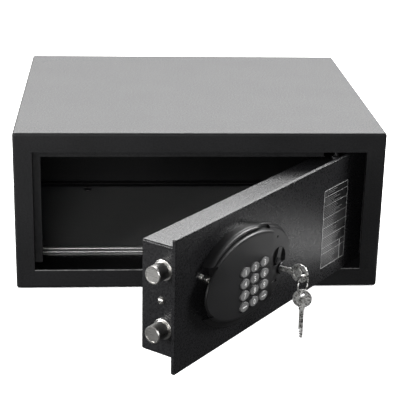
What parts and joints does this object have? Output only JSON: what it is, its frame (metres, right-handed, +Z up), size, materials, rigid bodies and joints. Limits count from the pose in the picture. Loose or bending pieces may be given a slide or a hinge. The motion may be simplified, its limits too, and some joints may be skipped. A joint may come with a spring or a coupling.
{
  "type": "in room safe",
  "caption": "Low sheet steel room safe with a side hinged door, round motor driven bolts, an oval keypad escutcheon and an override key in its lock",
  "frame": {"origin": "centre of the cabinet's underside, which is the centre of its four base anchor holes", "axes": "+Z up, -Y out of the front, +X to the right seen from the front, which is the hinge side"},
  "size_m": [0.45, 0.6795, 0.2],
  "materials": {
    "shell_powder_coat": "fine texture powder coat, satin black",
    "door_powder_coat": "fine texture powder coat, satin black",
    "bronze": "turned",
    "white_nylon": "moulded",
    "grey_carpet": "needle felt",
    "satin_strip": "satin",
    "nickel_plate": "bright nickel plate",
    "black_nickel": "black nickel plate",
    "zinc_plate": "zinc plated",
    "brass_parts": "machined",
    "key_nickel": "nickel plated, tumbled",
    "black_plastic": "satin black, fine grain",
    "key_cap_grey": "dark grey, printed legend",
    "pad_rubber": "moulded",
    "circuit_board": "solder mask",
    "motor_can": "drawn can",
    "cell_sleeve": "printed sleeve",
    "printed_label": "grey printed film"
  },
  "bodies": {
    "cabinet": {"body_shell": "shell_powder_coat", "back_panel": "shell_powder_coat", "door_stop_frame": "shell_powder_coat", "hinge_blocks": "shell_powder_coat", "hinge_bushes": "bronze", "thrust_washer": "white_nylon", "floor_mat": "grey_carpet", "mat_edge_trim": "satin_strip"},
    "door": {"door_plate": "door_powder_coat", "door_box": "door_powder_coat", "inner_cover": "door_powder_coat", "cover_screws": "zinc_plate", "hinge_pin_upper": "black_nickel", "hinge_pin_lower": "black_nickel", "side_screw": "nickel_plate", "label_sheet": "printed_label", "bolt_bushes": "nickel_plate", "gearbox": "black_plastic", "drive_motor": "motor_can", "chassis_plate": "zinc_plate", "chassis_standoffs": "zinc_plate", "bar_guides": "white_nylon", "lock_barrel": "black_nickel", "lock_nut": "nickel_plate", "escutcheon_base": "black_plastic", "grip_arc": "black_plastic", "keypad_panel": "black_plastic", "lock_trim": "black_plastic", "shutter_screw": "black_nickel", "escutcheon_screws": "zinc_plate", "contact_studs": "nickel_plate", "keypad_mat": "pad_rubber", "keypad_board": "circuit_board", "control_board": "circuit_board", "battery_box": "black_plastic", "battery_cells": "cell_sleeve"},
    "boltwork": {"bolt_upper": "nickel_plate", "bolt_lower": "nickel_plate", "bolt_carriage": "zinc_plate", "rack_bar": "zinc_plate"},
    "motor_pinion": {"drive_pinion": "brass_parts"},
    "plug": {"key_plug": "black_nickel", "override_gear": "brass_parts"},
    "key_in_lock": {"lock_key": "key_nickel"},
    "ring": {"key_ring": "key_nickel"},
    "hanging_key": {"spare_key": "key_nickel"},
    "shutter": {"keyhole_shutter": "black_plastic"},
    "hatch_lid": {"battery_lid": "black_plastic"},
    "key_cap_01": {"button_01": "key_cap_grey"},
    "key_cap_02": {"button_02": "key_cap_grey"},
    "key_cap_03": {"button_03": "key_cap_grey"},
    "key_cap_04": {"button_04": "key_cap_grey"},
    "key_cap_05": {"button_05": "key_cap_grey"},
    "key_cap_06": {"button_06": "key_cap_grey"},
    "key_cap_07": {"button_07": "key_cap_grey"},
    "key_cap_08": {"button_08": "key_cap_grey"},
    "key_cap_09": {"button_09": "key_cap_grey"},
    "key_cap_10": {"button_10": "key_cap_grey"},
    "key_cap_11": {"button_11": "key_cap_grey"},
    "key_cap_12": {"button_12": "key_cap_grey"}
  },
  "joints": [
    {"name": "door_hinge", "type": "hinge", "parent": "cabinet", "child": "door", "pos_m": [0.17, -0.176, 0.1], "axis": [0, 0, 1], "range_deg": [-51.2, 48.8]},
    {"name": "bolt_slide", "type": "slide", "parent": "door", "child": "boltwork", "axis": [0.6266, 0.7793, 0], "range_m": [0, 0.01728]},
    {"name": "pinion_spin", "type": "hinge", "parent": "door", "child": "motor_pinion", "pos_m": [-0.00702, -0.39937, 0.114], "axis": [-0.7793, 0.6266, 0], "range_deg": [-123.8, 0]},
    {"name": "key_turn", "type": "hinge", "parent": "door", "child": "plug", "pos_m": [0.0739, -0.32585, 0.082], "axis": [-0.7793, 0.6266, 0], "range_deg": [0, 90]},
    {"name": "key_withdraw", "type": "slide", "parent": "plug", "child": "key_in_lock", "axis": [0.7793, -0.6266, 0], "range_m": [0, 0.0245]},
    {"name": "ring_swing", "type": "hinge", "parent": "key_in_lock", "child": "ring", "pos_m": [0.10624, -0.35185, 0.08075], "axis": [0.6266, 0.7793, 0], "range_deg": [-40, 8]},
    {"name": "spare_swing", "type": "hinge", "parent": "ring", "child": "hanging_key", "pos_m": [0.10624, -0.35185, 0.05875], "axis": [0.6266, 0.7793, 0], "range_deg": [-30, 10]},
    {"name": "shutter_swivel", "type": "hinge", "parent": "door", "child": "shutter", "pos_m": [0.07778, -0.33538, 0.0935], "axis": [-0.7793, 0.6266, 0], "range_deg": [-85, 45]},
    {"name": "battery_lid_slide", "type": "slide", "parent": "door", "child": "hatch_lid", "axis": [-0.6266, -0.7793, 0], "range_m": [0, 0.062]},
    {"name": "button_press_01", "type": "slide", "parent": "door", "child": "key_cap_01", "axis": [-0.7793, 0.6266, 0], "range_m": [0, 0.0012], "stiffness_N_per_m": 400},
    {"name": "button_press_02", "type": "slide", "parent": "door", "child": "key_cap_02", "axis": [-0.7793, 0.6266, 0], "range_m": [0, 0.0012], "stiffness_N_per_m": 400},
    {"name": "button_press_03", "type": "slide", "parent": "door", "child": "key_cap_03", "axis": [-0.7793, 0.6266, 0], "range_m": [0, 0.0012], "stiffness_N_per_m": 400},
    {"name": "button_press_04", "type": "slide", "parent": "door", "child": "key_cap_04", "axis": [-0.7793, 0.6266, 0], "range_m": [0, 0.0012], "stiffness_N_per_m": 400},
    {"name": "button_press_05", "type": "slide", "parent": "door", "child": "key_cap_05", "axis": [-0.7793, 0.6266, 0], "range_m": [0, 0.0012], "stiffness_N_per_m": 400},
    {"name": "button_press_06", "type": "slide", "parent": "door", "child": "key_cap_06", "axis": [-0.7793, 0.6266, 0], "range_m": [0, 0.0012], "stiffness_N_per_m": 400},
    {"name": "button_press_07", "type": "slide", "parent": "door", "child": "key_cap_07", "axis": [-0.7793, 0.6266, 0], "range_m": [0, 0.0012], "stiffness_N_per_m": 400},
    {"name": "button_press_08", "type": "slide", "parent": "door", "child": "key_cap_08", "axis": [-0.7793, 0.6266, 0], "range_m": [0, 0.0012], "stiffness_N_per_m": 400},
    {"name": "button_press_09", "type": "slide", "parent": "door", "child": "key_cap_09", "axis": [-0.7793, 0.6266, 0], "range_m": [0, 0.0012], "stiffness_N_per_m": 400},
    {"name": "button_press_10", "type": "slide", "parent": "door", "child": "key_cap_10", "axis": [-0.7793, 0.6266, 0], "range_m": [0, 0.0012], "stiffness_N_per_m": 400},
    {"name": "button_press_11", "type": "slide", "parent": "door", "child": "key_cap_11", "axis": [-0.7793, 0.6266, 0], "range_m": [0, 0.0012], "stiffness_N_per_m": 400},
    {"name": "button_press_12", "type": "slide", "parent": "door", "child": "key_cap_12", "axis": [-0.7793, 0.6266, 0], "range_m": [0, 0.0012], "stiffness_N_per_m": 400}
  ],
  "couplings": [
    {"joint": "pinion_spin", "follows": "bolt_slide", "rad_per_m": -125},
    {"joint": "key_turn", "follows": "bolt_slide", "rad_per_m": 90.909}
  ]
}
